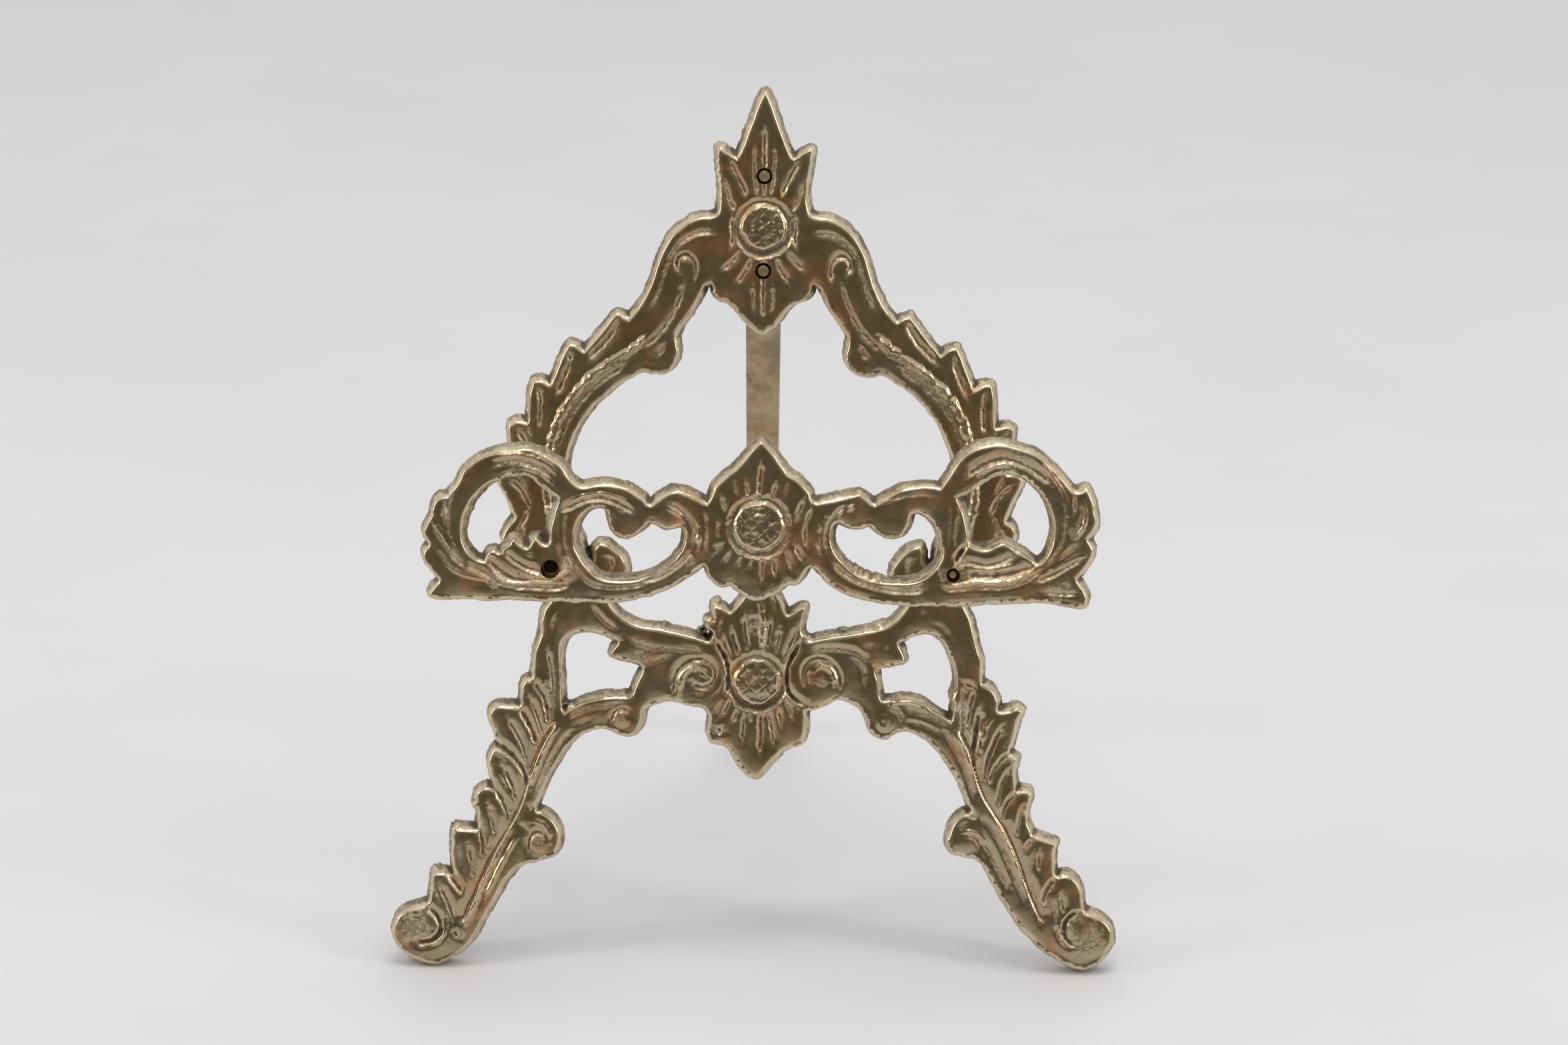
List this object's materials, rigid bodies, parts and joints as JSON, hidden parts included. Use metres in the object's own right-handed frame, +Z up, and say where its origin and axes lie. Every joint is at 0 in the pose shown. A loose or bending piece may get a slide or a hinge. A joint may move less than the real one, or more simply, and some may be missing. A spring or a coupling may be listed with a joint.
{
  "type": "plate display stand",
  "caption": "Small cast brass easel stand with scroll legs, a pierced gallery rail and a folding rear leg, holds a display plate upright.",
  "frame": {"origin": "middle of the footprint at table level", "axes": "+Z up, front of the stand towards -Y, +X to the right seen from the front"},
  "size_m": [0.1086, 0.103, 0.1272],
  "materials": {
    "cast_brass": "sand cast, polished face, dark recesses",
    "rail_brass": "sand cast, polished face, dark recesses",
    "turned_brass": "turned",
    "hinge_brass": "rough cast",
    "leg_brass": "rough cast",
    "nut_brass": "milled"
  },
  "bodies": {
    "stand": {"front_frame": "cast_brass", "gallery_rail": "rail_brass", "left_ledge_arm": "turned_brass", "right_ledge_arm": "turned_brass", "left_arm_nut": "nut_brass", "right_arm_nut": "nut_brass", "hinge_bracket": "hinge_brass", "hinge_rivet_1": "turned_brass", "hinge_rivet_2": "turned_brass", "hinge_pin": "turned_brass", "pin_collar": "turned_brass"},
    "leg": {"rear_leg": "leg_brass"}
  },
  "joints": [
    {"name": "rear_leg_hinge", "type": "hinge", "parent": "stand", "child": "leg", "pos_m": [0.00042, -0.00707, 0.10578], "axis": [1, 0, 0], "range_deg": [-42, 0]}
  ]
}
